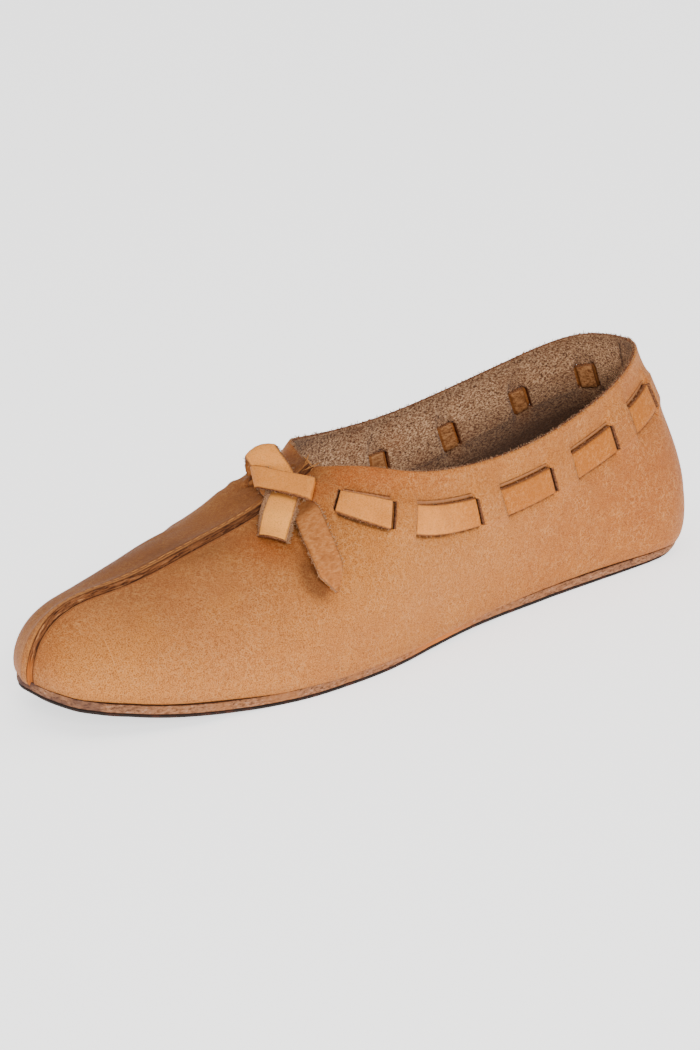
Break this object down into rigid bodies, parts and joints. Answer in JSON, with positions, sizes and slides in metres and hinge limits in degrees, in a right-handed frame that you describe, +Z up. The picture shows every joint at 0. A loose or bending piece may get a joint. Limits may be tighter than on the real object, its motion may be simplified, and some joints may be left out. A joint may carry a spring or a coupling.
{
  "type": "viking shoe",
  "caption": "Low slip-on leather shoe in an early medieval style, with a lapped seam from toe to throat and a flat thong woven through slits round the collar and tied over the instep.",
  "frame": {"origin": "on the floor, under the middle of the shoe's length and width", "axes": "+Z up, toe towards -Y, +X towards the wearer's left, which is the outer side of this left shoe"},
  "size_m": [0.0855, 0.2846, 0.0759],
  "materials": {
    "upper_leather": "semi-matte vegetable-tanned leather",
    "sole_leather": "raw cut sole leather",
    "outsole_rubber": "matte dark tread layer",
    "insole_leather": "rough flesh side",
    "thong_leather": "paler smooth leather strip with raw edges"
  },
  "bodies": {
    "root": {"upper": "upper_leather", "sole": "sole_leather", "outsole": "outsole_rubber", "insole": "insole_leather", "thong": "thong_leather", "thong_knot": "thong_leather", "thong_end_short": "thong_leather", "thong_end_long": "thong_leather"}
  },
  "joints": []
}
